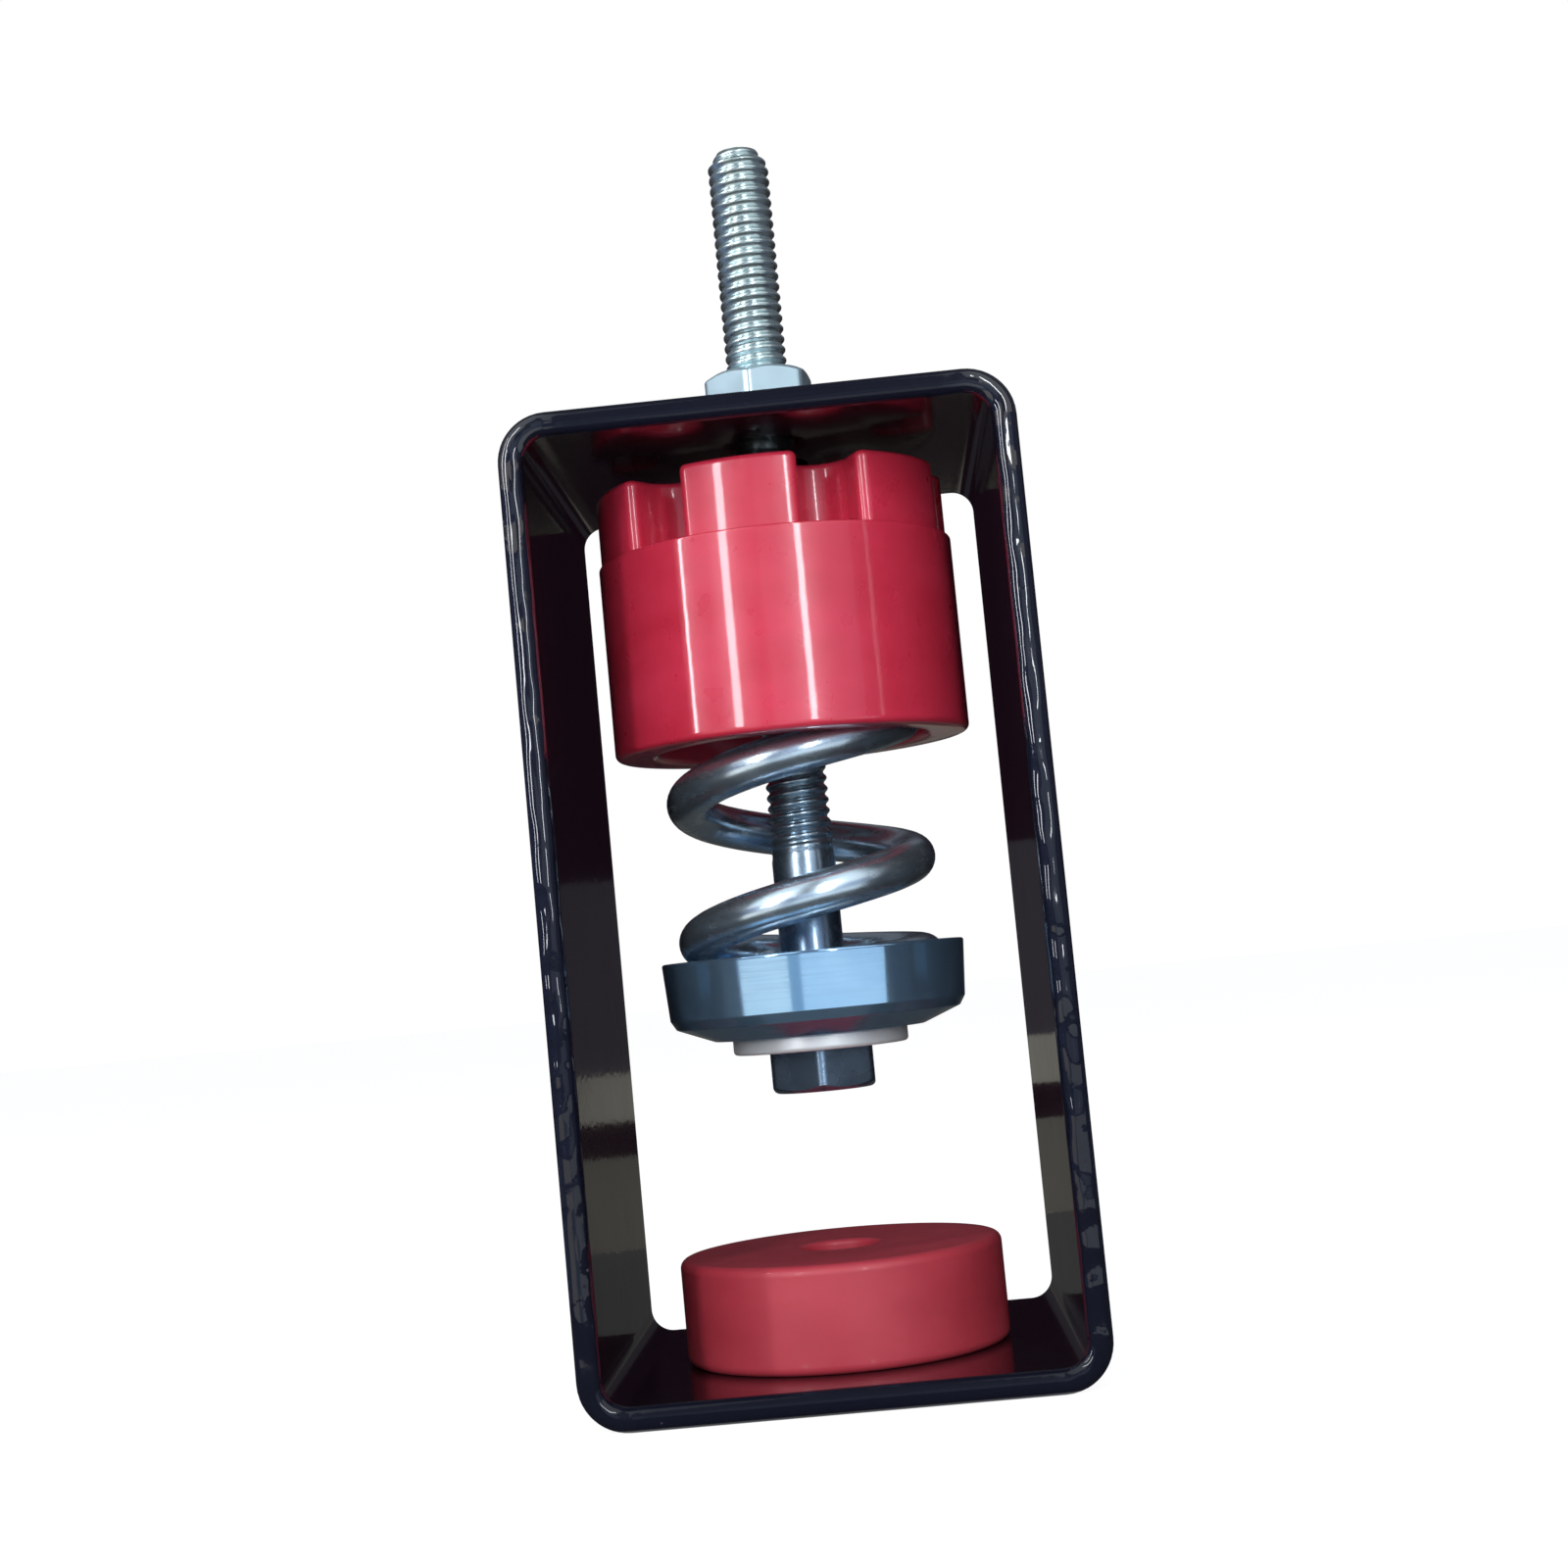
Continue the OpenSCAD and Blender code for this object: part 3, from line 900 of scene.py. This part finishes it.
def make_floor():
    """Pale floor that takes the object's shadow."""
    material, tree, shader, _ = new_material("studio_floor")
    shader.inputs["Base Color"].default_value = (FLOOR_GREY, FLOOR_GREY, FLOOR_GREY, 1.0)
    shader.inputs["Roughness"].default_value = 0.9
    shader.inputs["Specular IOR Level"].default_value = 0.0
    glow = tree.nodes.new("ShaderNodeEmission")
    glow.inputs["Strength"].default_value = FLOOR_GLOW
    mix = tree.nodes.new("ShaderNodeMixShader")
    share = add_range(tree, background_rays(tree), 0.0, 1.0, 0.0, FLOOR_GLOW_SHARE)
    tree.links.new(share, mix.inputs["Fac"])
    tree.links.new(shader.outputs["BSDF"], mix.inputs[1])
    tree.links.new(glow.outputs["Emission"], mix.inputs[2])
    tree.links.new(mix.outputs["Shader"], tree.nodes["Material Output"].inputs["Surface"])
    reach = FLOOR_W / 2
    corners = [(-reach, -reach, 0), (reach, -reach, 0), (reach, reach, 0), (-reach, reach, 0)]
    stage_sheet("floor", corners, material)


def around(azimuth_deg, distance, height):
    """A place round the object, where zero is straight in front and 90 is to its right."""
    turn = math.radians(azimuth_deg)
    return Vector((distance * math.sin(turn), -distance * math.cos(turn), height))


def make_lamp(name, shape, width, watts, place, target):
    """A soft light that faces a point."""
    data = bpy.data.lights.new(name, "AREA")
    data.shape = shape
    data.size = width
    data.energy = watts
    data.color = LAMP_COLOUR
    lamp = bpy.data.objects.new(name, data)
    bpy.context.scene.collection.objects.link(lamp)
    lamp.location = place
    aim(lamp, target)
    return lamp


def make_strip(name, azimuth_deg, width, watts):
    """A tall narrow softbox that faces the object."""
    middle = (STRIP_TOP + STRIP_FOOT) / 2
    place = around(azimuth_deg, STRIP_AWAY, middle)
    lamp = make_lamp(name, "RECTANGLE", width, watts, place, target=(0, 0, middle))
    lamp.data.size_y = STRIP_TOP - STRIP_FOOT


def make_fill(watts):
    """A broad soft light over the camera, which no surface mirrors."""
    middle = (cad_low.z + cad_high.z) / 2
    place = around(FILL_AZIMUTH_DEG, FILL_AWAY, FILL_HEIGHT)
    lamp = make_lamp("fill", "SQUARE", FILL_W, watts, place, target=(0, 0, middle))
    lamp.visible_glossy = False


def make_card(name, points, glow):
    """A card out of the picture, which only the glossy surfaces mirror."""
    material = bpy.data.materials.new(name)
    material.use_nodes = True
    tree = material.node_tree
    tree.nodes.remove(tree.nodes["Principled BSDF"])
    emission = tree.nodes.new("ShaderNodeEmission")
    emission.inputs["Color"].default_value = (*glow, 1.0)
    tree.links.new(emission.outputs["Emission"], tree.nodes["Material Output"].inputs["Surface"])
    card = stage_sheet(name, points, material)
    card.visible_camera = False
    card.visible_diffuse = False
    card.visible_shadow = False
    card.visible_transmission = False


def card_turns(start_deg, end_deg):
    """Directions from one to another in even steps."""
    steps = max(1, round((end_deg - start_deg) / CARD_STEP_DEG))
    return [start_deg + (end_deg - start_deg) * k / steps for k in range(steps + 1)]


def make_wall_card(name, start_deg, end_deg, low, high, glow):
    """A standing card that bends round the object between two directions."""
    turns = card_turns(start_deg, end_deg)
    points = [around(turn, CARD_AWAY, low) for turn in turns]
    points += [around(turn, CARD_AWAY, high) for turn in reversed(turns)]
    make_card(name, points, glow)


def make_flat_card(name, start_deg, end_deg, near, far, height, glow):
    """A level card between two directions and two distances."""
    turns = card_turns(start_deg, end_deg)
    points = [around(turn, far, height) for turn in turns]
    points += [around(turn, near, height) for turn in reversed(turns)]
    make_card(name, points, glow)


def make_front_floor():
    """Cards on the floor in front, which the seat mirrors."""
    def card(name, start_deg, end_deg, glow):
        make_flat_card(name, start_deg, end_deg, FLOOR_NEAR, FLOOR_FAR, CARD_LIFT, glow)

    make_flat_card("floor_near", *ALL_ROUND_DEG, 0.0, FLOOR_NEAR, CARD_LIFT, (0.045, 0.045, 0.045))
    card("floor_left", *LEFT_FLOOR_DEG, (0.14, 0.18, 0.29))
    card("floor_left_panel", *LEFT_PANEL_DEG, (1.0, 0.98, 0.92))
    card("floor_gap", *GAP_DEG, (0.30, 0.42, 0.52))
    card("floor_right_panel", *RIGHT_PANEL_DEG, (0.80, 0.88, 0.93))
    card("floor_right", *RIGHT_FLOOR_DEG, (0.07, 0.08, 0.12))
    make_flat_card("floor_front", *FRONT_DEG, FLOOR_FAR, CARD_AWAY, CARD_LIFT, (0.050, 0.075, 0.125))


def make_rear():
    """Cards on the rear floor and the rear wall, which the inside of the frame mirrors.

    Each card on the floor that lies over another is a little higher.
    """
    def card(name, start_deg, end_deg, near, far, layer, glow):
        make_flat_card(name, start_deg, end_deg, near, far, layer * CARD_LIFT, glow)

    card("floor_rear_near", *BEHIND_DEG, FLOOR_NEAR, FLOOR_REAR, 1, (0.080, 0.077, 0.068))
    card("floor_rear", *BEHIND_DEG, FLOOR_REAR, CARD_AWAY, 1, BLACK)
    card("floor_rear_lit", *REAR_LIT_DEG, FLOOR_REAR, CARD_AWAY, 1.5, (0.17, 0.165, 0.145))
    card("floor_rear_dark", *REAR_DEG, *REAR_DARK, 2, BLACK)
    make_wall_card("rear_low", *REAR_DEG, CARD_FOOT, REAR_SPLIT, (0.032, 0.029, 0.036))
    make_wall_card("rear_high", *REAR_DEG, REAR_SPLIT, SKY_FOOT, BLACK)


def make_walls():
    """Cards standing at the front and the sides, which the rims and the cup mirror."""
    make_wall_card("front_gap", *GAP_DEG, CARD_FOOT, GAP_TOP, (0.085, 0.10, 0.18))
    make_wall_card("front_right", *FRONT_RIGHT_DEG, CARD_FOOT, GAP_TOP, (0.34, 0.42, 0.56))
    make_wall_card("front_left", *FRONT_LEFT_DEG, CARD_FOOT, LEFT_TOP, (0.07, 0.10, 0.22))
    make_wall_card("side_right", *SIDE_RIGHT_DEG, CARD_FOOT, SIDE_TOP, (0.10, 0.11, 0.17))
    make_wall_card("far_right", *FAR_RIGHT_DEG, CARD_FOOT, SIDE_TOP, (0.035, 0.034, 0.050))
    make_wall_card("far_left", *FAR_LEFT_DEG, CARD_FOOT, SIDE_TOP, (0.03, 0.03, 0.045))
    make_wall_card("side_left_high", *HIGH_LEFT_DEG, SIDE_TOP, SKY_FOOT, DIM)
    make_wall_card("side_right_high", *HIGH_RIGHT_DEG, SIDE_TOP, SKY_FOOT, DIM)


def make_sky():
    """Cards high up and overhead, bright at the front on either side of a dim gap."""
    make_wall_card("sky_gap", *SKY_GAP_DEG, GAP_TOP, SKY_HEIGHT, DIM)
    make_wall_card("sky_left", *SKY_LEFT_DEG, SKY_FOOT, SKY_HEIGHT, SKY)
    make_wall_card("sky_right", *SKY_RIGHT_DEG, SKY_FOOT, SKY_HEIGHT, SKY)
    make_wall_card("sky_rear", *SKY_REAR_DEG, SKY_FOOT, SKY_HEIGHT, DIM)
    make_flat_card("sky_top_gap", *SKY_GAP_DEG, SKY_MIDDLE, CARD_AWAY, SKY_HEIGHT, DIM)
    make_flat_card("sky_top_left", *SKY_LEFT_DEG, SKY_MIDDLE, CARD_AWAY, SKY_HEIGHT, SKY)
    make_flat_card("sky_top_right", *SKY_RIGHT_DEG, SKY_MIDDLE, CARD_AWAY, SKY_HEIGHT, SKY)
    make_flat_card("sky_top_rear", *SKY_REAR_DEG, SKY_MIDDLE, CARD_AWAY, SKY_HEIGHT, DIM)
    make_flat_card("sky_top_middle", *ALL_ROUND_DEG, 0.0, SKY_MIDDLE, SKY_HEIGHT, DIM)


def make_lights():
    """The lamps, and then the cards that the glossy surfaces mirror."""
    make_strip("strip_left", azimuth_deg=-60, width=0.045, watts=2.3)
    make_strip("strip_centre", azimuth_deg=-30, width=0.08, watts=2.8)
    make_strip("strip_right", azimuth_deg=17, width=0.06, watts=2.5)
    make_fill(watts=3.7)
    make_front_floor()
    make_rear()
    make_walls()
    make_sky()


materials = make_materials()
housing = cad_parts["housing"]
housing.data.materials.clear()
housing.data.materials.append(materials["black_paint"])
for build in (build_bolt, build_nut, build_washer, build_seat, build_spring, build_cup, build_pad):
    build(materials)

make_camera()
make_world()
make_floor()
make_lights()
bpy.context.scene.view_settings.view_transform = "Standard"
